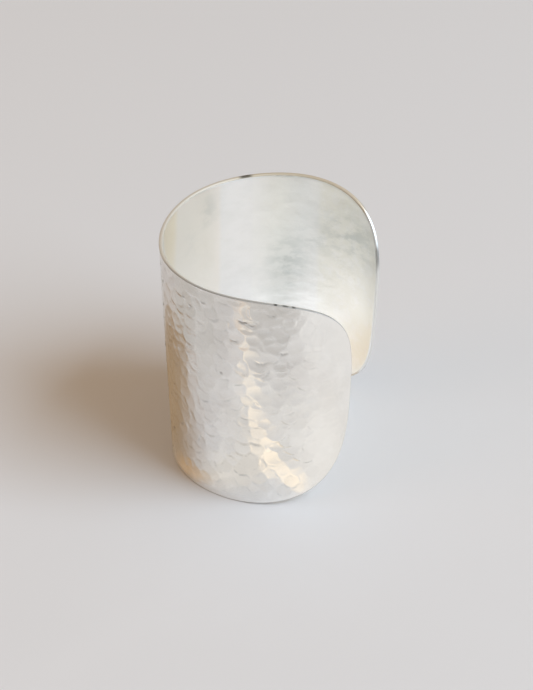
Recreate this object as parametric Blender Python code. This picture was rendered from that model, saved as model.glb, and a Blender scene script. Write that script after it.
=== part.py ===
"""Hammered open cuff bracelet: one rolled metal sheet with rounded ends, standing on its lower edge."""
import math
import random

import bmesh
import bpy
from mathutils import Vector
from mathutils.geometry import delaunay_2d_cdt

MM = 0.001

# The flat sheet
SHEET_HEIGHT = 58.5 * MM
SHEET_THICKNESS = 1.0 * MM
END_REACH = 35.0 * MM
END_SQUARENESS = 3.1
EDGE_BREAK = 0.22 * MM

# The rolled plan, from the back middle to each end: radius and turn of three arcs
BACK_RADIUS = 38.1 * MM
BACK_TURN = math.radians(18.5)
SIDE_RADIUS = 26.2 * MM
SIDE_TURN = math.radians(112.8)
TIP_RADIUS = 19.2 * MM
TIP_TURN = math.radians(17.4)
FLARE = 0.084

# Hammer marks
MARK_PITCH = 4.7 * MM
MARK_ROW = 3.4 * MM
MARK_DEPTH = 0.14 * MM
MARK_REACH = 0.62
MARK_STRAY = 0.28
MARK_SEED = 11

# Mesh fineness
EDGE_STEP = 2.1 * MM
INNER_STEP = 4.0 * MM
EDGE_CLEARANCE = 0.45
SHARP_ANGLE = math.radians(30.0)
MERGE_DISTANCE = 1e-7

# What the flat triangulation keeps
WHOLE_HULL = 0
INSIDE_THE_EDGES = 1


def plan_arcs():
    return [(BACK_RADIUS, BACK_TURN), (SIDE_RADIUS, SIDE_TURN), (TIP_RADIUS, TIP_TURN)]


def half_length():
    return sum(radius * turn for radius, turn in plan_arcs())


def plan_point(along):
    """Point on the sheet's middle line at mid height, and the outward normal there."""
    x, y, heading = 0.0, 0.0, 0.0
    left = abs(along)
    arcs = plan_arcs()
    for index, (radius, turn) in enumerate(arcs):
        step = left / radius
        if index < len(arcs) - 1:
            step = min(step, turn)
        x += radius * (math.cos(heading) - math.cos(heading + step))
        y += radius * (math.sin(heading + step) - math.sin(heading))
        heading += step
        left -= radius * step
        if left <= 0.0:
            break
    side = -1.0 if along < 0.0 else 1.0
    return Vector((x, side * y)), Vector((-math.cos(heading), side * math.sin(heading)))


def plan_depth():
    samples = 200
    return max(plan_point(half_length() * index / samples)[0].x for index in range(samples + 1))


def rolled(along, height, offset, centre_x):
    """Place a point of the flat sheet: the roll widens from the lower edge to the upper one."""
    point, normal = plan_point(along)
    spread = 1.0 + FLARE * (height / SHEET_HEIGHT - 0.5)
    centre = Vector((centre_x, 0.0))
    place = centre + (point - centre) * spread + normal * offset
    return Vector((place.x, place.y, height))


def end_reach():
    return min(END_REACH, 0.9 * half_length())


def outline_quarter():
    """Evenly spaced points of the sheet's outline, from the top middle to the middle of one end."""
    reach = end_reach()
    half_height = SHEET_HEIGHT / 2.0
    fine = [Vector((0.0, half_height))]
    samples = 600
    for index in range(samples + 1):
        angle = 0.5 * math.pi * index / samples
        along = half_length() - reach + reach * math.sin(angle) ** (2.0 / END_SQUARENESS)
        fine.append(Vector((along, half_height * math.cos(angle) ** (2.0 / END_SQUARENESS))))
    lengths = [0.0]
    for before, after in zip(fine, fine[1:]):
        lengths.append(lengths[-1] + (after - before).length)
    count = max(8, round(lengths[-1] / EDGE_STEP))
    points = []
    place = 0
    for index in range(count + 1):
        target = lengths[-1] * index / count
        while place < len(fine) - 2 and lengths[place + 1] < target:
            place += 1
        stretch = lengths[place + 1] - lengths[place]
        share = (target - lengths[place]) / stretch if stretch > 0.0 else 0.0
        points.append(fine[place].lerp(fine[place + 1], min(1.0, share)))
    return points


def outline_loop():
    """Closed outline of the flat sheet, anticlockwise in along and height."""
    quarter = outline_quarter()
    right_half = quarter + [Vector((point.x, -point.y)) for point in reversed(quarter[:-1])]
    left_half = [Vector((-point.x, point.y)) for point in reversed(right_half[1:-1])]
    loop = right_half + left_half
    loop.reverse()
    return [Vector((point.x, point.y + SHEET_HEIGHT / 2.0)) for point in loop]


def inset_loop(loop, distance):
    inset = []
    for index, point in enumerate(loop):
        ahead = loop[(index + 1) % len(loop)] - loop[index - 1]
        inward = Vector((-ahead.y, ahead.x)).normalized()
        inset.append(point + inward * distance)
    return inset


def within_sheet(point, margin):
    reach = end_reach()
    past = max(0.0, abs(point.x) - (half_length() - reach)) / (reach - margin)
    rise = abs(point.y - SHEET_HEIGHT / 2.0) / (SHEET_HEIGHT / 2.0 - margin)
    return past ** END_SQUARENESS + rise ** END_SQUARENESS < 1.0


def staggered_points(pitch, row_step, stray, spread):
    """Rows of points over the flat sheet, every second row shifted by half a pitch."""
    chance = random.Random(MARK_SEED)
    columns = math.ceil((half_length() + spread) / pitch)
    rows = math.ceil((SHEET_HEIGHT / 2.0 + spread) / row_step)
    points = []
    for row in range(-rows, rows + 1):
        shift = 0.5 * pitch if row % 2 else 0.0
        for column in range(-columns, columns + 1):
            along = column * pitch + shift + pitch * stray * chance.uniform(-1.0, 1.0)
            height = SHEET_HEIGHT / 2.0 + row * row_step + row_step * stray * chance.uniform(-1.0, 1.0)
            points.append(Vector((along, height)))
    return points


def triangles_of(points, edges, kept):
    """Delaunay triangles over flat points, as triples of their places in the list."""
    found = delaunay_2d_cdt(points, edges, [], kept, MERGE_DISTANCE)
    faces, origins = found[2], found[3]
    source = [entry[0] for entry in origins]
    return [tuple(source[corner] for corner in face) for face in faces]


def mark_depth(point, marks):
    """Depth of the hammered face below the sheet's skin: the deepest shallow dish wins."""
    fall = MARK_DEPTH / (MARK_REACH * MARK_PITCH) ** 2
    deepest = 0.0
    for mark in marks:
        gap = point - mark
        if abs(gap.x) < MARK_PITCH and abs(gap.y) < MARK_PITCH:
            deepest = max(deepest, MARK_DEPTH - fall * gap.length_squared)
    return deepest


def middle_of(points):
    return sum(points, Vector((0.0, 0.0))) / len(points)


def skin_faces(points, loop_length):
    """Triangles of one skin. The first points are its boundary loop and the others lie inside it."""
    edges = [(index, (index + 1) % loop_length) for index in range(loop_length)]
    return triangles_of(points, edges, INSIDE_THE_EDGES)


def build_cuff():
    outline = outline_loop()
    inset = inset_loop(outline, EDGE_BREAK)

    marks = staggered_points(MARK_PITCH, MARK_ROW, MARK_STRAY, MARK_PITCH)
    corners = [middle_of([marks[index] for index in face]) for face in triangles_of(marks, [], WHOLE_HULL)]
    mark_margin = EDGE_CLEARANCE * min(MARK_PITCH, MARK_ROW)
    outer_points = inset + [point for point in marks + corners if within_sheet(point, mark_margin)]
    outer_faces = skin_faces(outer_points, len(inset))

    calm = staggered_points(INNER_STEP, INNER_STEP, 0.0, 0.0)
    calm_margin = EDGE_CLEARANCE * INNER_STEP
    inner_points = inset + [point for point in calm if within_sheet(point, calm_margin)]
    inner_faces = skin_faces(inner_points, len(inset))

    centre_x = plan_depth() / 2.0
    half = SHEET_THICKNESS / 2.0
    mesh = bmesh.new()

    def vertex(point, offset):
        return mesh.verts.new(rolled(point.x, point.y, offset, centre_x))

    outer = [vertex(point, half - mark_depth(point, marks)) for point in outer_points]
    inner = [vertex(point, -half) for point in inner_points]
    outer_edge = [vertex(point, half - EDGE_BREAK) for point in outline]
    inner_edge = [vertex(point, -half + EDGE_BREAK) for point in outline]

    for face in outer_faces:
        mesh.faces.new([outer[index] for index in face])
    for face in inner_faces:
        mesh.faces.new([inner[index] for index in reversed(face)])
    rings = [outer[:len(inset)], outer_edge, inner_edge, inner[:len(inset)]]
    for ring, following in zip(rings, rings[1:]):
        for index in range(len(outline)):
            after = (index + 1) % len(outline)
            mesh.faces.new([ring[after], ring[index], following[index], following[after]])
    bmesh.ops.triangulate(mesh, faces=mesh.faces[:])
    bmesh.ops.recalc_face_normals(mesh, faces=mesh.faces[:])

    low_x = min(vert.co.x for vert in mesh.verts)
    high_x = max(vert.co.x for vert in mesh.verts)
    bmesh.ops.translate(mesh, verts=mesh.verts[:], vec=(-(low_x + high_x) / 2.0, 0.0, 0.0))
    return mesh


def silver():
    material = bpy.data.materials.new("silver")
    material.use_nodes = True
    shader = material.node_tree.nodes["Principled BSDF"]
    shader.inputs["Base Color"].default_value = (0.86, 0.85, 0.82, 1.0)
    shader.inputs["Metallic"].default_value = 1.0
    shader.inputs["Roughness"].default_value = 0.28
    return material


def main():
    for item in list(bpy.data.objects):
        bpy.data.objects.remove(item, do_unlink=True)

    cuff_mesh = bpy.data.meshes.new("cuff_band")
    solid = build_cuff()
    solid.to_mesh(cuff_mesh)
    solid.free()
    cuff_mesh.materials.append(silver())
    cuff_mesh.shade_smooth()
    cuff_mesh.set_sharp_from_angle(angle=SHARP_ANGLE)
    cuff = bpy.data.objects.new("cuff_band", cuff_mesh)
    bpy.context.collection.objects.link(cuff)


main()
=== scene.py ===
"""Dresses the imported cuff: a fine hammered silver shell on a plain pale floor in soft window light."""

import math
import random
from collections import namedtuple

import bpy
import numpy as np
from mathutils import Matrix, Vector


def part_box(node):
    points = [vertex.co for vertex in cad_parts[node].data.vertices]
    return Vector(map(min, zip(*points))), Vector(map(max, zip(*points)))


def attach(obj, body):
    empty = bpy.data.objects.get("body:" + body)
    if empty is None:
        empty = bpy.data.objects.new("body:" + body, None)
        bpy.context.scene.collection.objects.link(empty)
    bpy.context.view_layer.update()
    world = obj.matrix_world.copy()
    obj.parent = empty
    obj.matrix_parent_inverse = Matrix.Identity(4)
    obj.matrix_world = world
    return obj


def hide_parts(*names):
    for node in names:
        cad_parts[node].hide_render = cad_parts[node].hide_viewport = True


MM = 0.001

# The flat sheet, as in the part's source
SHEET_HEIGHT = 58.5 * MM
SHEET_THICKNESS = 1.0 * MM
END_REACH = 35.0 * MM
END_SQUARENESS = 3.1

# The rolled plan: radius and turn of three arcs, from the back middle to each end
ARCS = [
    (38.1 * MM, math.radians(18.5)),
    (26.2 * MM, math.radians(112.8)),
    (19.2 * MM, math.radians(17.4)),
]
FLARE = 0.084
HALF_LENGTH = sum(radius * turn for radius, turn in ARCS)

# The filed edge: a barely broken outer corner with painted shade on the near side, and a rounded inner corner
OUTER_ROUND = 0.2 * MM
INNER_ROUND = 0.4 * MM
ROUND_STEPS = 3
CORNER_SHADE = 0.34
CORNER_SHADE_UNTIL = -14.0 * MM
CORNER_SHADE_FADE = 10.0 * MM

# The hammer marks, struck row by row from the lower edge up: leaning dishes with a soft lip round them,
# which rise from their bottom to their rim by MARK_RISE times their depth
MARK_PITCH = 3.5 * MM
MARK_ROW = 2.4 * MM
MARK_STRAY = 0.34
MARK_RADIUS = (1.6 * MM, 2.4 * MM)
MARK_DEPTH = (0.05 * MM, 0.11 * MM)
MARK_RISE = 1.15
MARK_LEAN = 0.028
MARK_LIP = 0.16 * MM
MARK_TONE = 0.08
MARK_SEED = 5

# Painted shade on the lower lips of the marks: darkness, and the slopes between which it grows
LIP_SHADE = 0.26
LIP_SLOPE = (0.05, 0.2)

# Where the marks grow faint: beside the edge, and on the planished ends
EDGE_CALM = 1.8 * MM
ENDS_FAINT_FROM = 53.0 * MM
ENDS_FAINT_TO = 64.0 * MM
ENDS_STRENGTH = 0.3

# Dark nicks left by the hammer's edge: along and height on the sheet and half width in mm, and darkness
NICKS = [
    (-43.1, 52.2, 1.1, 1.0),
    (-45.1, 51.6, 0.7, 0.6),
    (-40.9, 46.6, 1.1, 0.45),
    (-51.9, 44.2, 1.1, 0.5),
    (-47.1, 41.3, 1.5, 0.35),
    (-43.4, 37.6, 0.8, 0.35),
    (-49.4, 54.6, 1.0, 0.35),
    (-27.1, 53.6, 0.4, 0.55),
    (-29.4, 52.2, 0.6, 0.5),
    (-33.3, 54.6, 0.6, 0.6),
    (-37.6, 36.8, 0.35, 0.8),
    (-39.1, 35.2, 0.5, 0.3),
]

# Light nicks strewn over most of the sheet: how many, their places as shares of its half length and of its
# height, half widths in mm, and darkness
STRAY_NICKS = 16
STRAY_ALONG = (-0.4, 0.8)
STRAY_HEIGHT = (0.1, 0.92)
STRAY_HALF_WIDTH = (0.4, 1.1)
STRAY_DARKNESS = (0.08, 0.24)

# The form of every nick
NICK_HALF_HEIGHT = 0.22 * MM
NICK_CURVE = 0.35
NICK_DEPTH = 0.12 * MM

# Dark specks on the upper half of the edge, one of them painted shade: along the sheet and half width in mm,
# and darkness
EDGE_SPECKS_AND_SHADE = [
    (-50.2, 0.4, 0.9),
    (-52.3, 0.7, 0.7),
    (-54.1, 0.4, 0.8),
    (30.4, 1.5, 0.8),
    # Painted shade: the dark reflection on the far end's edge, below its highlight
    (68.4, 0.7, 0.5),
]

# Soft grey patches of painted shade inside: along and height on the sheet, half width and half height in mm,
# and darkness
INNER_SHADE_PATCHES = [
    (41.5, 33.5, 5.0, 8.0, 0.45),
    (58.5, 44.0, 10.0, 6.5, 0.5),
    (48.0, 41.0, 8.0, 3.5, 0.35),
    (19.5, 52.0, 3.0, 4.5, 0.2),
    (13.0, 46.0, 3.5, 5.0, 0.1),
]

# The fine grid: side of the inner skin's cells, which are twice as wide as the outer skin's
CELL = 0.68 * MM

# Places tried to find how deep the plan is, and the least number to divide by
PLAN_SAMPLES = 200
TINY = 1e-9

# Place of each finish in the shell's list of materials
OUTER_FINISH = 0
EDGE_FINISH = 1
INNER_FINISH = 2

# Noise textures: scale, detail and roughness, and the span of values over which the effect grows
Texture = namedtuple("Texture", "scale detail roughness span", defaults=[None])
OUTER_CLOUD = Texture(70.0, 4.0, 0.5, (0.35, 0.7))
OUTER_HAZE = Texture(160.0, 5.0, 0.6, (0.3, 0.75))
OUTER_GRAIN = Texture(900.0, 3.0, 0.5)
EDGE_SPOTS = Texture(330.0, 3.0, 0.5, (0.58, 0.7))
INNER_WISPS = Texture(170.0, 6.0, 0.65, (0.4, 0.75))
INNER_MOTTLES = Texture(260.0, 5.0, 0.7, (0.45, 0.6))
INNER_HAZE = Texture(90.0, 3.0, 0.5, (0.35, 0.65))
INNER_RIPPLE = Texture(150.0, 1.5, 0.5)
INNER_CRINKLE = Texture(390.0, 2.0, 0.5)
CARD_PATCHES = Texture(110.0, 2.0, 0.5, (0.4, 0.6))

# How much finer the wisps and ripples inside are upwards than sideways, and how deep the reliefs are
WISP_STRETCH = (1.0, 1.0, 2.0)
RIPPLE_STRETCH = (1.0, 1.0, 1.6)
GRAIN_DEPTH = 0.004 * MM
RIPPLE_DEPTH = 0.14 * MM
CRINKLE_DEPTH = 0.06 * MM

# Roughness of the skins where clear and where hazy, and of the edge before and after its polished ends begin
OUTER_ROUGHNESS = (0.15, 0.24)
INNER_ROUGHNESS = (0.28, 0.32)
EDGE_ROUGHNESS = (0.8, 0.45)
POLISH_BEGINS = (17.0 * MM, 19.2 * MM)

# Colours of each finish, clear and clouded, and of what darkens or lightens them
OUTER_COLOURS = ((0.965, 0.96, 0.945), (0.91, 0.895, 0.87))
EDGE_COLOURS = ((0.82, 0.81, 0.79), (0.72, 0.69, 0.65))
INNER_COLOURS = ((0.985, 0.985, 0.98), (0.925, 0.93, 0.92))
# Tarnish in the nicks together with painted shade on the marks' lips, the near corner and the far end
TARNISH_AND_SHADE_COLOUR = (0.09, 0.08, 0.065)
MOTTLE_COLOUR = (1.0, 1.0, 0.985)
# Colour of the patches of painted shade inside
SHADE_PATCH_COLOUR = (0.63, 0.665, 0.655)

# The wisps cloud the inside by a share, and over a span of their values they thin or thicken its patches of
# painted shade
WISP_SHARE = 0.8
SHADE_PATCH_SPAN = (0.4, 0.6)
SHADE_PATCH_UNEVENNESS = (0.35, 1.5)

# Tints over those colours: the axis they grow along, where in mm they start and are full, share and colour
Tint = namedtuple("Tint", "name axis start full share colour")
EDGE_TINTS = [
    Tint("golden", "Y", -2.0, 8.0, 1.0, (0.78, 0.71, 0.60)),
    Tint("creamy", "X", -8.0, -18.0, 1.0, (0.85, 0.80, 0.73)),
    Tint("polished", "X", 19.2, 20.8, 1.0, (0.88, 0.88, 0.87)),
]
INNER_TINTS = [
    # Painted shadow: the cream left of a crisp line stands for the near end's shadow on the inner wall
    Tint("creamy", "X", -15.6, -16.8, 0.85, (1.0, 0.965, 0.915)),
    # Painted reflection: the warm golden strip at the far left inside stands for light reflected round the
    # curve
    Tint("golden", "X", -23.1, -23.7, 0.7, (1.0, 0.91, 0.72)),
    Tint("greenish", "X", -9.5, -8.5, 0.7, (0.965, 0.97, 0.955)),
    Tint("olive", "X", 6.5, 8.5, 0.8, (0.965, 0.96, 0.905)),
]

# The camera: where it stands round the cuff, and the floor point in the middle of the picture
CAMERA_AZIMUTH = math.radians(11.87)
CAMERA_ELEVATION = math.radians(32.39)
CAMERA_DISTANCE = 541.5 * MM
CAMERA_ROLL = math.radians(0.36)
CAMERA_AIM = Vector((-8.3, 41.4, 0.0)) * MM
CAMERA_LENS = 104.3
CAMERA_SENSOR = 36.0
CAMERA_SEES_TO = 50.0

# The floor, which the cuff stands on
FLOOR_SIDE = 6.0
FLOOR_COLOUR = (0.788, 0.787, 0.814)
FLOOR_ROUGHNESS = 0.8

# The window light and the dimmer lamp: side, to the camera's right and forwards, and height as an angle
WINDOW_SIDE = (0.907, -0.42)
WINDOW_ELEVATION = math.radians(42.0)
WINDOW_DISTANCE = 3.0
WINDOW_SIZE = 2.25
WINDOW_POWER = 85.0
WINDOW_COLOUR = (0.71, 0.87, 1.0)
LAMP_SIDE = (-0.94, -0.34)
LAMP_ELEVATION = math.radians(32.0)
LAMP_DISTANCE = 1.5
LAMP_SIZE = 0.8
LAMP_POWER = 1.8
LAMP_COLOUR = (1.0, 0.5, 0.18)

# The room's light low down all round and overhead, and the sines of the height angles between which it rises
ROOM_LOW = (0.31, 0.285, 0.255)
ROOM_HIGH = (0.58, 0.385, 0.20)
ROOM_RISE = (0.66, 0.9)

# Soft cards of light lying on the floor, which show only in reflections: middle and size in mm, turn in
# degrees, the share of each half side in which it fades (one number for a round card), the light left between
# its patches, colour and strength
Card = namedtuple("Card", "name middle size turn soft between colour strength")
CARDS = [
    Card("far_shade", (-22.0, -128.0), (260.0, 100.0), 11.9, (0.4, 0.8), 0.8, (1.0, 0.96, 0.915), 0.545),
    Card("high_shade", (-98.0, -24.0), (64.0, 84.0), 0.0, (0.7, 0.8), 0.8, (1.0, 0.94, 0.87), 0.5),
    Card("front_shade", (-68.0, -60.0), (90.0, 80.0), 0.0, 0.8, 0.8, (1.0, 0.96, 0.915), 0.56),
    Card("left_shade", (-48.0, 8.0), (72.0, 84.0), 0.0, (0.4, 0.75), 0.8, (1.0, 0.69, 0.41), 0.36),
    Card("left_foot", (-15.8, -23.4), (27.0, 7.0), -52.0, (0.8, 0.9), 1.0, (1.0, 0.66, 0.37), 0.46),
    Card("near_light", (14.0, -56.0), (110.0, 66.0), 11.9, (0.6, 0.7), 0.45, (1.0, 0.975, 0.94), 0.76),
    Card("right_light", (92.0, -30.0), (130.0, 200.0), 11.9, (0.5, 0.5), 0.7, (1.0, 0.98, 0.955), 0.83),
    Card("gap_light", (36.0, -31.0), (64.0, 56.0), 0.0, 0.8, 1.0, (1.0, 0.975, 0.94), 0.86),
    Card("inner_light", (0.0, 0.0), (48.0, 60.0), 0.0, 0.35, 0.7, (0.99, 0.99, 1.0), 1.2),
    Card("inner_shade", (10.0, -15.0), (36.0, 28.0), 20.0, 0.7, 0.8, (0.95, 1.0, 0.98), 0.6),
    Card("inner_glow", (-4.0, 24.0), (52.0, 40.0), 0.0, 0.9, 1.0, (1.0, 0.87, 0.71), 0.84),
    Card("foot_light", (-4.0, -38.0), (46.0, 22.0), -38.0, (0.8, 0.9), 0.8, (1.0, 0.95, 0.88), 0.74),
    Card("warm_strip", (-12.3, -75.5), (92.0, 11.5), 57.0, (0.12, 0.55), 0.4, (1.0, 0.89, 0.74), 1.17),
    Card("warm_foot", (11.5, -41.0), (34.0, 8.5), 60.0, (0.4, 0.6), 0.7, (1.0, 0.89, 0.74), 1.2),
    Card("warm_end", (-28.0, -104.0), (26.0, 22.0), 57.0, (0.6, 0.6), 0.6, (1.0, 0.78, 0.60), 0.8),
]
CARD_LIFT = 0.15 * MM

# Half the side of the unit square that every floor plate is made from
HALF_SIDE = 0.5


def plan(along):
    """Middle line of the sheet in plan and its outward normal, at distances from the back middle."""
    left = np.abs(along)
    x = np.zeros_like(left)
    y = np.zeros_like(left)
    heading = np.zeros_like(left)
    for radius, turn in ARCS:
        step = np.clip(left / radius, 0.0, turn)
        x += radius * (np.cos(heading) - np.cos(heading + step))
        y += radius * (np.sin(heading + step) - np.sin(heading))
        heading += step
        left = left - radius * step
    side = np.where(along < 0.0, -1.0, 1.0)
    return x, side * y, -np.cos(heading), side * np.sin(heading)


def rolled(along, height, offset):
    """Points of the rolled sheet, which is wider at the upper edge than at the lower one."""
    x, y, normal_x, normal_y = plan(along)
    centre_x = plan(np.linspace(0.0, HALF_LENGTH, PLAN_SAMPLES))[0].max() / 2.0
    widening = 1.0 + FLARE * (height / SHEET_HEIGHT - 0.5)
    px = centre_x + (x - centre_x) * widening + normal_x * offset
    py = y * widening + normal_y * offset
    return np.stack([px, py, height], axis=-1)


def flat_places(cells_cap, cells_middle, cells_up, inset):
    """Grid of places on the flat sheet, squeezed into its rounded ends: along and height arrays."""
    straight = HALF_LENGTH - END_REACH
    reach = END_REACH - inset
    half_height = SHEET_HEIGHT / 2.0 - inset
    right = np.arange(1, cells_cap + 1) / cells_cap
    ends = np.concatenate([-right[::-1], np.zeros(cells_middle + 1), right])
    middle = np.linspace(-straight, straight, cells_middle + 1)
    base = np.concatenate([np.full(cells_cap, -straight), middle, np.full(cells_cap, straight)])
    rise = np.linspace(-1.0, 1.0, cells_up + 1)
    u, v = np.meshgrid(ends, rise, indexing="ij")
    power = (np.abs(u) ** END_SQUARENESS + np.abs(v) ** END_SQUARENESS) ** (1.0 / END_SQUARENESS)
    shrink = np.maximum(np.abs(u), np.abs(v)) / np.maximum(power, TINY)
    along = base[:, None] + reach * u * shrink
    height = SHEET_HEIGHT / 2.0 + half_height * v * shrink
    return along, height


def border(columns, rows):
    """Indices of a grid's outer points, once round, starting at the lower left corner."""
    index = np.arange(columns * rows).reshape(columns, rows)
    return np.concatenate([index[:, 0], index[-1, 1:], index[-2::-1, -1], index[0, -2:0:-1]])


def smooth_step(value):
    value = np.clip(value, 0.0, 1.0)
    return value * value * (3.0 - 2.0 * value)


def strikes():
    """Place, radius, depth, lean and tone of each hammer blow, in the order they were struck."""
    chance = random.Random(MARK_SEED)
    columns = math.ceil((HALF_LENGTH + MARK_PITCH) / MARK_PITCH)
    rows = math.ceil((SHEET_HEIGHT / 2.0 + MARK_ROW) / MARK_ROW)
    blows = []
    for row in range(-rows, rows + 1):
        line = []
        for column in range(-columns, columns + 1):
            shift = 0.5 * MARK_PITCH if row % 2 else 0.0
            along = column * MARK_PITCH + shift + MARK_PITCH * MARK_STRAY * chance.uniform(-1.0, 1.0)
            height = row * MARK_ROW + MARK_ROW * MARK_STRAY * chance.uniform(-1.0, 1.0)
            radius = chance.uniform(*MARK_RADIUS)
            depth = chance.uniform(*MARK_DEPTH)
            lean = (MARK_LEAN * chance.uniform(-1.0, 1.0), MARK_LEAN * chance.uniform(-1.0, 1.0))
            tone = chance.uniform(0.0, MARK_TONE)
            line.append((along, SHEET_HEIGHT / 2.0 + height, radius, depth, lean, tone))
        chance.shuffle(line)
        blows.extend(line)
    return blows


def mark_strength(along, height):
    """One where the hammer struck fully, less beside the edge and near the two ends."""
    past = np.clip(np.abs(along) - (HALF_LENGTH - END_REACH), 0.0, None) / END_REACH
    rise = np.abs(height - SHEET_HEIGHT / 2.0) / (SHEET_HEIGHT / 2.0)
    outwards = (past ** END_SQUARENESS + rise ** END_SQUARENESS) ** (1.0 / END_SQUARENESS)
    beside_edge = smooth_step((1.0 - outwards) * SHEET_HEIGHT / 2.0 / EDGE_CALM)
    faint = smooth_step((np.abs(along) - ENDS_FAINT_FROM) / (ENDS_FAINT_TO - ENDS_FAINT_FROM))
    return beside_edge * (1.0 - (1.0 - ENDS_STRENGTH) * faint)


def hammered(along, height):
    """Height and darkness of the hammered face: every blow presses its own leaning dish over older ones; the
    darkness is each mark's tone plus painted shade on its lips.
    """
    face = np.zeros_like(along)
    dark = np.zeros_like(along)
    for mark_along, mark_height, radius, depth, (lean_along, lean_height), tone in strikes():
        ahead = along - mark_along
        above = height - mark_height
        near = np.hypot(ahead, above) < radius + MARK_LIP
        if not near.any():
            continue
        ahead, above = ahead[near], above[near]
        distance = np.hypot(ahead, above)
        bowl = MARK_RISE * depth * (distance / radius) ** 2 - depth
        dish = bowl + lean_along * ahead + lean_height * above
        cover = smooth_step((radius + MARK_LIP - distance) / (2.0 * MARK_LIP))
        face[near] += (dish - face[near]) * cover
        dark[near] += (tone - dark[near]) * cover
    strength = mark_strength(along, height)
    face *= strength
    # Painted shade: the face is darkened where it rises upwards at the marks' lips
    slope = np.gradient(face, axis=1) / np.gradient(height, axis=1)
    lip = smooth_step((slope - LIP_SLOPE[0]) / (LIP_SLOPE[1] - LIP_SLOPE[0]))
    return face, dark * strength + LIP_SHADE * lip


def nicks():
    """The dark nicks of the photographed side and some light ones strewn over most of the sheet."""
    chance = random.Random(MARK_SEED)
    found = [(along * MM, height * MM, half * MM, dark) for along, height, half, dark in NICKS]
    for _ in range(STRAY_NICKS):
        along = chance.uniform(*STRAY_ALONG) * HALF_LENGTH
        height = chance.uniform(*STRAY_HEIGHT) * SHEET_HEIGHT
        half_width = chance.uniform(*STRAY_HALF_WIDTH) * MM
        found.append((along, height, half_width, chance.uniform(*STRAY_DARKNESS)))
    return found


def nicked(along, height):
    """Share of a nick's full depth, and its darkness, at each place: short arcs that curve upwards."""
    pressed = np.zeros_like(along)
    dark = np.zeros_like(along)
    for nick_along, nick_height, half_width, darkness in nicks():
        across = (along - nick_along) / half_width
        bottom = nick_height + NICK_CURVE * half_width * across ** 2
        share = np.exp(-across ** 4 - ((height - bottom) / NICK_HALF_HEIGHT) ** 2)
        pressed = np.maximum(pressed, share)
        dark = np.maximum(dark, share * darkness)
    return pressed, dark


def speckled_and_shaded(along, height):
    """Darkness of the filed edge at each place: a few specks on its upper half, one of them painted shade."""
    dark = np.zeros_like(along)
    for speck_along, half_width, darkness in EDGE_SPECKS_AND_SHADE:
        share = np.exp(-((along - speck_along * MM) / (half_width * MM)) ** 4)
        dark = np.maximum(dark, share * darkness * (height > SHEET_HEIGHT / 2.0))
    return dark


def shade_patched(along, height):
    """Darkness of the inner skin at each place: a few soft patches of painted shade."""
    dark = np.zeros_like(along)
    for stain_along, stain_height, half_width, half_height, darkness in INNER_SHADE_PATCHES:
        across = (along - stain_along * MM) / (half_width * MM)
        above = (height - stain_height * MM) / (half_height * MM)
        dark = np.maximum(dark, darkness * np.exp(-across ** 2 - above ** 2))
    return dark


def grid_quads(start, columns, rows):
    """Quads of a grid whose first point has the number start."""
    index = start + np.arange(columns * rows).reshape(columns, rows)
    return np.stack([index[:-1, :-1], index[:-1, 1:], index[1:, 1:], index[1:, :-1]], axis=-1).reshape(-1, 4)


def edge_levels():
    """The rounded edge from the outer skin to the inner one: inset, offset and share of the skin's dents."""
    half = SHEET_THICKNESS / 2.0
    turns = [math.pi / 2.0 * step / ROUND_STEPS for step in range(1, ROUND_STEPS + 1)]
    levels = []
    for turn in turns:
        drop = OUTER_ROUND * (1.0 - math.cos(turn))
        levels.append((OUTER_ROUND * (1.0 - math.sin(turn)), half - drop, math.cos(turn)))
    for turn in reversed(turns):
        drop = INNER_ROUND * (1.0 - math.cos(turn))
        levels.append((INNER_ROUND * (1.0 - math.sin(turn)), drop - half, 0.0))
    return levels


def seam_triangles(fine, coarse):
    """Joins a closed ring of points to one of half as many: three triangles at each coarse point."""
    triangles = []
    for place in range(len(coarse)):
        here, ahead = coarse[place], coarse[(place + 1) % len(coarse)]
        first, second = fine[2 * place], fine[2 * place + 1]
        third = fine[(2 * place + 2) % len(fine)]
        triangles.extend([(first, second, here), (second, ahead, here), (second, third, ahead)])
    return np.array(triangles)


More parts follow.
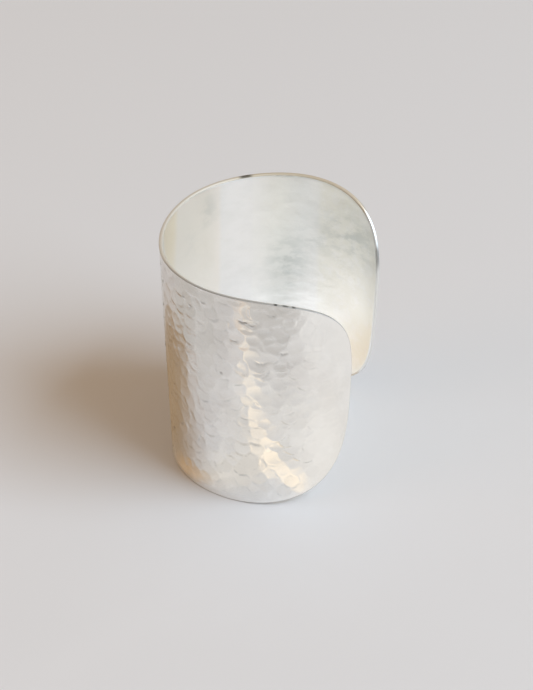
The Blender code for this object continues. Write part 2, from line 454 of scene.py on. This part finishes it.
def build_shell(name):
    """The whole sheet as one closed mesh: hammered outer skin, rounded edge and smooth inner skin."""
    cap = round(END_REACH / CELL)
    middle = round(2.0 * (HALF_LENGTH - END_REACH) / CELL)
    up = round(SHEET_HEIGHT / CELL)
    half = SHEET_THICKNESS / 2.0
    outer_along, outer_height = flat_places(2 * cap, 2 * middle, 2 * up, OUTER_ROUND)
    inner_along, inner_height = flat_places(cap, middle, up, INNER_ROUND)
    pressed, nick_dark = nicked(outer_along, outer_height)
    face, mark_dark = hammered(outer_along, outer_height)
    face -= face.max() + NICK_DEPTH * pressed

    points = [rolled(outer_along.ravel(), outer_height.ravel(), half + face.ravel())]
    tarnish_and_shade = [np.maximum(nick_dark, mark_dark).ravel()]
    faces = []
    finishes = []

    def add_faces(corner_sets, finish):
        faces.extend(corner_sets.tolist())
        finishes.extend([finish] * len(corner_sets))

    add_faces(grid_quads(0, *outer_along.shape), OUTER_FINISH)

    ring = border(*outer_along.shape)
    edge_face = face.ravel()[ring]
    rings = [ring]
    count = outer_along.size
    for inset, offset, dented in edge_levels():
        along, height = (grid.ravel()[ring] for grid in flat_places(2 * cap, 2 * middle, 2 * up, inset))
        points.append(rolled(along, height, offset + dented * edge_face))
        # Painted shade: the outer corner darkened on the near side
        corner_shade = CORNER_SHADE if offset > 0.0 else 0.0
        fading = smooth_step((CORNER_SHADE_UNTIL - along) / CORNER_SHADE_FADE)
        tarnish_and_shade.append(np.maximum(speckled_and_shaded(along, height), corner_shade * fading))
        rings.append(count + np.arange(len(ring)))
        count += len(ring)
    for before, after in zip(rings, rings[1:]):
        strip = np.stack([before, np.roll(before, -1), np.roll(after, -1), after], axis=-1)
        add_faces(strip, EDGE_FINISH)

    points.append(rolled(inner_along.ravel(), inner_height.ravel(), np.full(inner_along.size, -half)))
    tarnish_and_shade.append(shade_patched(inner_along, inner_height).ravel())
    add_faces(grid_quads(count, *inner_along.shape)[:, ::-1], INNER_FINISH)
    add_faces(seam_triangles(rings[-1], count + border(*inner_along.shape)), EDGE_FINISH)

    mesh = bpy.data.meshes.new(name)
    mesh.from_pydata(np.concatenate(points).tolist(), [], faces)
    mesh.polygons.foreach_set("material_index", finishes)
    mesh.polygons.foreach_set("use_smooth", [True] * len(faces))
    darkness = mesh.attributes.new("tarnish_and_shade", "FLOAT", "POINT")
    darkness.data.foreach_set("value", np.concatenate(tarnish_and_shade))
    mesh.update()
    shell = bpy.data.objects.new(name, mesh)
    bpy.context.collection.objects.link(shell)
    return shell


def fit_into(shell, low, high):
    """Moves and slightly scales the shell's points so that its box is exactly the CAD box."""
    count = len(shell.data.vertices)
    place = np.empty(count * 3)
    shell.data.vertices.foreach_get("co", place)
    place = place.reshape(count, 3)
    own_low, own_high = place.min(axis=0), place.max(axis=0)
    scale = (np.array(high) - np.array(low)) / (own_high - own_low)
    place = np.array(low) + (place - own_low) * scale
    shell.data.vertices.foreach_set("co", place.ravel())
    shell.data.update()


def new_material(name):
    material = bpy.data.materials.new(name)
    material.use_nodes = True
    nodes = material.node_tree.nodes
    return material, nodes, material.node_tree.links, nodes["Principled BSDF"]


def noise(nodes, links, coordinates, texture):
    node = nodes.new("ShaderNodeTexNoise")
    node.inputs["Scale"].default_value = texture.scale
    node.inputs["Detail"].default_value = texture.detail
    node.inputs["Roughness"].default_value = texture.roughness
    links.new(coordinates, node.inputs["Vector"])
    return node.outputs["Fac"]


def axes_of(nodes, links, vector):
    """The X, Y and Z values of a vector."""
    split = nodes.new("ShaderNodeSeparateXYZ")
    links.new(vector, split.inputs["Vector"])
    return split.outputs


def stretched(nodes, links, coordinates, scale):
    mapping = nodes.new("ShaderNodeMapping")
    mapping.inputs["Scale"].default_value = scale
    links.new(coordinates, mapping.inputs["Vector"])
    return mapping.outputs["Vector"]


def ranged(nodes, links, value, low, high, to_low, to_high):
    """Maps a value range to another one, smoothly at both ends."""
    node = nodes.new("ShaderNodeMapRange")
    node.interpolation_type = "SMOOTHSTEP"
    node.inputs["From Min"].default_value = low
    node.inputs["From Max"].default_value = high
    node.inputs["To Min"].default_value = to_low
    node.inputs["To Max"].default_value = to_high
    links.new(value, node.inputs["Value"])
    return node.outputs["Result"]


def arithmetic(nodes, links, operation, first, second=None):
    node = nodes.new("ShaderNodeMath")
    node.operation = operation
    links.new(first, node.inputs[0])
    if second is not None:
        links.new(second, node.inputs[1])
    return node.outputs["Value"]


def blend_colour(nodes, links, factor, first, second):
    """Mixes two colours, of which the first may also be another node's output."""
    mix = nodes.new("ShaderNodeMix")
    mix.data_type = "RGBA"
    if isinstance(first, tuple):
        mix.inputs["A"].default_value = (*first, 1.0)
    else:
        links.new(first, mix.inputs["A"])
    mix.inputs["B"].default_value = (*second, 1.0)
    links.new(factor, mix.inputs["Factor"])
    return mix.outputs["Result"]


def bump(nodes, links, height, distance, below=None):
    """Normals of a fine relief, which may lie on top of another one."""
    node = nodes.new("ShaderNodeBump")
    node.inputs["Distance"].default_value = distance
    node.inputs["Strength"].default_value = 1.0
    links.new(height, node.inputs["Height"])
    if below is not None:
        links.new(below, node.inputs["Normal"])
    return node.outputs["Normal"]


def tarnish_and_shade_values(nodes):
    attribute = nodes.new("ShaderNodeAttribute")
    attribute.attribute_name = "tarnish_and_shade"
    return attribute.outputs["Fac"]


def tarnished_and_shaded(nodes, links, colour):
    """Darkens a colour by the mesh's own values of tarnish and painted shade."""
    return blend_colour(nodes, links, tarnish_and_shade_values(nodes), colour, TARNISH_AND_SHADE_COLOUR)


def tinted(nodes, links, axes, tints, colour):
    """Lays tints over a colour, and also returns by name how much of each tint there is."""
    amounts = {}
    for tint in tints:
        amount = ranged(nodes, links, axes[tint.axis], tint.start * MM, tint.full * MM, 0.0, tint.share)
        colour = blend_colour(nodes, links, amount, colour, tint.colour)
        amounts[tint.name] = amount
    return colour, amounts


def outer_silver():
    """Bright hammered silver with a soft haze, tarnish in its nicks and painted shade on the lips of its
    marks.
    """
    material, nodes, links, shader = new_material("silver_hammered")
    place = nodes.new("ShaderNodeTexCoord").outputs["Object"]
    shader.inputs["Metallic"].default_value = 1.0
    cloud = noise(nodes, links, place, OUTER_CLOUD)
    clouded = ranged(nodes, links, cloud, *OUTER_CLOUD.span, 0.0, 1.0)
    colour = blend_colour(nodes, links, clouded, *OUTER_COLOURS)
    links.new(tarnished_and_shaded(nodes, links, colour), shader.inputs["Base Color"])
    haze = noise(nodes, links, place, OUTER_HAZE)
    links.new(ranged(nodes, links, haze, *OUTER_HAZE.span, *OUTER_ROUGHNESS), shader.inputs["Roughness"])
    grain = noise(nodes, links, place, OUTER_GRAIN)
    links.new(bump(nodes, links, grain, GRAIN_DEPTH), shader.inputs["Normal"])
    return material


def edge_silver():
    """The filed edge: dull and specked, golden on one side, creamy at the back, polished at the ends, with
    painted shade on the near outer corner and at the far end.
    """
    material, nodes, links, shader = new_material("silver_edge")
    place = nodes.new("ShaderNodeTexCoord").outputs["Object"]
    shader.inputs["Metallic"].default_value = 1.0
    axes = axes_of(nodes, links, place)
    spots = noise(nodes, links, place, EDGE_SPOTS)
    spotted = ranged(nodes, links, spots, *EDGE_SPOTS.span, 0.0, 1.0)
    colour = blend_colour(nodes, links, spotted, *EDGE_COLOURS)
    colour, _ = tinted(nodes, links, axes, EDGE_TINTS, colour)
    links.new(tarnished_and_shaded(nodes, links, colour), shader.inputs["Base Color"])
    links.new(ranged(nodes, links, axes["X"], *POLISH_BEGINS, *EDGE_ROUGHNESS), shader.inputs["Roughness"])
    return material


def inner_silver():
    """Satin silver, cloudy, darkened in patches by painted shade, tinted in bands from the back to the ends,
    two of which are painted shade and a painted reflection, and softly rippled.
    """
    material, nodes, links, shader = new_material("silver_inside")
    place = nodes.new("ShaderNodeTexCoord").outputs["Object"]
    shader.inputs["Metallic"].default_value = 1.0
    wisps = noise(nodes, links, stretched(nodes, links, place, WISP_STRETCH), INNER_WISPS)
    clouded = ranged(nodes, links, wisps, *INNER_WISPS.span, 0.0, WISP_SHARE)
    colour = blend_colour(nodes, links, clouded, *INNER_COLOURS)
    colour, amounts = tinted(nodes, links, axes_of(nodes, links, place), INNER_TINTS, colour)
    mottles = noise(nodes, links, place, INNER_MOTTLES)
    mottled = ranged(nodes, links, mottles, *INNER_MOTTLES.span, 0.0, 1.0)
    bright = arithmetic(nodes, links, "MULTIPLY", amounts["greenish"], mottled)
    colour = blend_colour(nodes, links, bright, colour, MOTTLE_COLOUR)
    # Painted shade: the soft grey patches, thinned or thickened by the wisps
    uneven = ranged(nodes, links, wisps, *SHADE_PATCH_SPAN, *SHADE_PATCH_UNEVENNESS)
    shade_patches = arithmetic(nodes, links, "MULTIPLY", tarnish_and_shade_values(nodes), uneven)
    colour = blend_colour(nodes, links, shade_patches, colour, SHADE_PATCH_COLOUR)
    links.new(colour, shader.inputs["Base Color"])
    haze = noise(nodes, links, place, INNER_HAZE)
    links.new(ranged(nodes, links, haze, *INNER_HAZE.span, *INNER_ROUGHNESS), shader.inputs["Roughness"])
    wide = stretched(nodes, links, place, RIPPLE_STRETCH)
    ripple = bump(nodes, links, noise(nodes, links, wide, INNER_RIPPLE), RIPPLE_DEPTH)
    crinkle = bump(nodes, links, noise(nodes, links, wide, INNER_CRINKLE), CRINKLE_DEPTH, ripple)
    links.new(crinkle, shader.inputs["Normal"])
    return material


def camera_axes():
    """Unit vectors to the camera's right and forwards, level with the floor."""
    right = Vector((math.cos(CAMERA_AZIMUTH), math.sin(CAMERA_AZIMUTH), 0.0))
    forward = Vector((-math.sin(CAMERA_AZIMUTH), math.cos(CAMERA_AZIMUTH), 0.0))
    return right, forward


def add_camera():
    _, forward = camera_axes()
    level = CAMERA_DISTANCE * math.cos(CAMERA_ELEVATION)
    lift = CAMERA_DISTANCE * math.sin(CAMERA_ELEVATION)
    data = bpy.data.cameras.new("camera")
    data.lens = CAMERA_LENS
    data.sensor_width = CAMERA_SENSOR
    data.clip_end = CAMERA_SEES_TO
    camera = bpy.data.objects.new("camera", data)
    camera.location = CAMERA_AIM - forward * level + Vector((0.0, 0.0, lift))
    look = (CAMERA_AIM - camera.location).to_track_quat("-Z", "Y").to_matrix().to_4x4()
    camera.rotation_euler = (look @ Matrix.Rotation(CAMERA_ROLL, 4, "Z")).to_euler()
    bpy.context.collection.objects.link(camera)
    bpy.context.scene.camera = camera


def add_plate(name, size, middle, turn):
    """A flat stage piece lying level: a unit square scaled to its size."""
    mesh = bpy.data.meshes.new(name)
    signs = [(-1.0, -1.0), (1.0, -1.0), (1.0, 1.0), (-1.0, 1.0)]
    mesh.from_pydata([(HALF_SIDE * x, HALF_SIDE * y, 0.0) for x, y in signs], [], [(0, 1, 2, 3)])
    plate = bpy.data.objects.new(name, mesh)
    plate.scale = (*size, 1.0)
    plate.location = middle
    plate.rotation_euler = (0.0, 0.0, turn)
    bpy.context.collection.objects.link(plate)
    return plate


def add_floor():
    floor = add_plate("floor", (FLOOR_SIDE, FLOOR_SIDE), (0.0, 0.0, 0.0), 0.0)
    material, _, _, shader = new_material("pale_floor")
    shader.inputs["Base Color"].default_value = (*FLOOR_COLOUR, 1.0)
    shader.inputs["Roughness"].default_value = FLOOR_ROUGHNESS
    floor.data.materials.append(material)


def faded(nodes, links, outwards, share):
    """One inside a card and none at its border: it falls over a share of the card's half side."""
    return ranged(nodes, links, outwards, HALF_SIDE - HALF_SIDE * share, HALF_SIDE, 1.0, 0.0)


def card_cover(nodes, links, soft, between):
    """How much of the card's light is there: less towards its border and between its patches."""
    place = nodes.new("ShaderNodeTexCoord").outputs["Object"]
    if isinstance(soft, tuple):
        axes = axes_of(nodes, links, place)
        fades = []
        for axis, share in zip("XY", soft):
            outwards = arithmetic(nodes, links, "ABSOLUTE", axes[axis])
            fades.append(faded(nodes, links, outwards, share))
        fade = arithmetic(nodes, links, "MULTIPLY", *fades)
    else:
        length = nodes.new("ShaderNodeVectorMath")
        length.operation = "LENGTH"
        links.new(place, length.inputs[0])
        fade = faded(nodes, links, length.outputs["Value"], soft)
    position = nodes.new("ShaderNodeNewGeometry").outputs["Position"]
    patches = noise(nodes, links, position, CARD_PATCHES)
    patchy = ranged(nodes, links, patches, *CARD_PATCHES.span, between, 1.0)
    return arithmetic(nodes, links, "MULTIPLY", fade, patchy)


def card_material(card):
    material = bpy.data.materials.new(card.name)
    material.use_nodes = True
    nodes, links = material.node_tree.nodes, material.node_tree.links
    nodes.clear()
    glow = nodes.new("ShaderNodeEmission")
    glow.inputs["Color"].default_value = (*card.colour, 1.0)
    glow.inputs["Strength"].default_value = card.strength
    mix = nodes.new("ShaderNodeMixShader")
    links.new(card_cover(nodes, links, card.soft, card.between), mix.inputs["Fac"])
    links.new(nodes.new("ShaderNodeBsdfTransparent").outputs["BSDF"], mix.inputs[1])
    links.new(glow.outputs["Emission"], mix.inputs[2])
    output = nodes.new("ShaderNodeOutputMaterial")
    links.new(mix.outputs["Shader"], output.inputs["Surface"])
    return material


def add_cards():
    for index, card in enumerate(CARDS):
        middle = (card.middle[0] * MM, card.middle[1] * MM, CARD_LIFT * (index + 1))
        plate = add_plate(card.name, [side * MM for side in card.size], middle, math.radians(card.turn))
        plate.data.materials.append(card_material(card))
        plate.visible_camera = False
        plate.visible_diffuse = False
        plate.visible_shadow = False


def add_world():
    """A dim warm room: dark low down all round, brighter overhead."""
    world = bpy.data.worlds.new("warm_room")
    world.use_nodes = True
    nodes, links = world.node_tree.nodes, world.node_tree.links
    axes = axes_of(nodes, links, nodes.new("ShaderNodeTexCoord").outputs["Generated"])
    rise = ranged(nodes, links, axes["Z"], *ROOM_RISE, 0.0, 1.0)
    links.new(blend_colour(nodes, links, rise, ROOM_LOW, ROOM_HIGH), nodes["Background"].inputs["Color"])
    bpy.context.scene.world = world


def add_light(name, side, elevation, distance, size, power, colour):
    """A square soft light that faces the cuff."""
    right, forward = camera_axes()
    towards = (right * side[0] + forward * side[1]) * math.cos(elevation)
    towards += Vector((0.0, 0.0, math.sin(elevation)))
    data = bpy.data.lights.new(name, "AREA")
    data.shape = "SQUARE"
    data.size = size
    data.energy = power
    data.color = colour
    light = bpy.data.objects.new(name, data)
    light.location = towards * distance
    light.rotation_euler = (-towards).to_track_quat("-Z", "Y").to_euler()
    bpy.context.collection.objects.link(light)
    return light


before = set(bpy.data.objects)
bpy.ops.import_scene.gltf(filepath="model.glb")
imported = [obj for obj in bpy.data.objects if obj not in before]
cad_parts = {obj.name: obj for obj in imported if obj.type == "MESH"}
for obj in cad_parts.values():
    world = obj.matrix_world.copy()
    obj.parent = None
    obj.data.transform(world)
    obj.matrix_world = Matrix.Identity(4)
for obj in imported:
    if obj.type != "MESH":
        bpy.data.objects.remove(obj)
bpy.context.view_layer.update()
bpy.context.scene.view_settings.view_transform = "Standard"

shell = build_shell("cuff_shell")
for finish in (outer_silver(), edge_silver(), inner_silver()):
    shell.data.materials.append(finish)
node_low, node_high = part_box("cuff_band")
fit_into(shell, node_low, node_high)
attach(shell, "root")
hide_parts("cuff_band")

add_floor()
add_cards()
add_world()
add_light("window", WINDOW_SIDE, WINDOW_ELEVATION, WINDOW_DISTANCE, WINDOW_SIZE, WINDOW_POWER, WINDOW_COLOUR)
lamp = add_light("lamp", LAMP_SIDE, LAMP_ELEVATION, LAMP_DISTANCE, LAMP_SIZE, LAMP_POWER, LAMP_COLOUR)
lamp.visible_glossy = False
add_camera()
